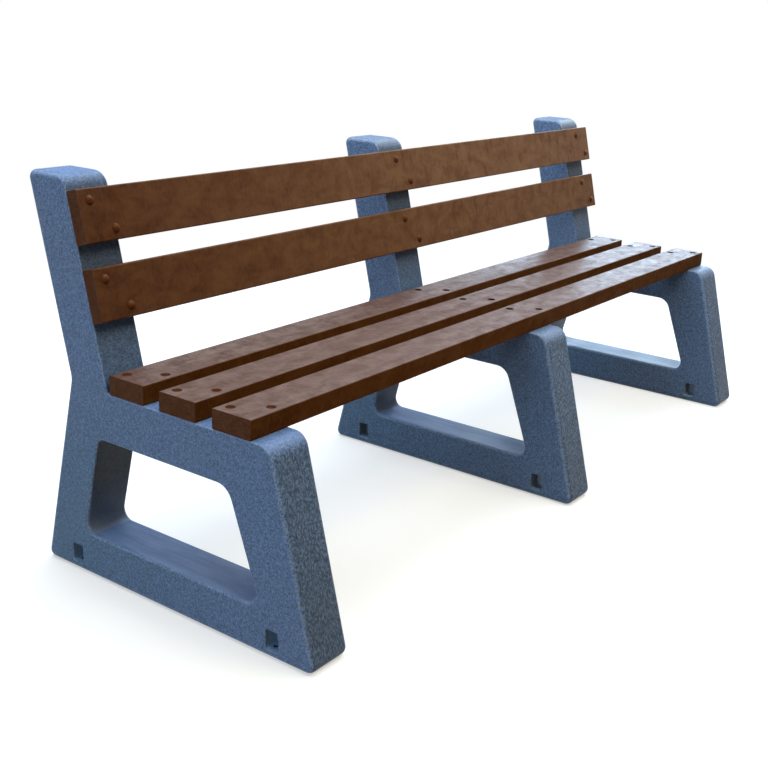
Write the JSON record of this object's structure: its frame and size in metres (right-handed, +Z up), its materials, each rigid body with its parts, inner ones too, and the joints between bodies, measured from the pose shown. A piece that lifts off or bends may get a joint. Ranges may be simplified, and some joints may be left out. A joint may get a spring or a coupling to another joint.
{
  "type": "street bench",
  "caption": "Street bench with a leaning backrest: moulded granite-effect frames with a foot rail carry brown seat and back planks held by dome-head screws.",
  "frame": {"origin": "on the ground, at the centre of the bench's outline", "axes": "+X along the bench towards the right-hand end as seen from the front, +Y towards the backrest, +Z up"},
  "size_m": [2, 0.715, 0.8],
  "materials": {
    "frame_moulding": "satin",
    "plank": "matte",
    "screw": "satin",
    "insert": "satin"
  },
  "bodies": {
    "root": {"left_frame": "frame_moulding", "middle_frame": "frame_moulding", "right_frame": "frame_moulding", "front_seat_plank": "plank", "middle_seat_plank": "plank", "rear_seat_plank": "plank", "upper_back_plank": "plank", "lower_back_plank": "plank", "seat_screws": "screw", "back_screws": "screw", "threaded_inserts": "insert"}
  },
  "joints": []
}
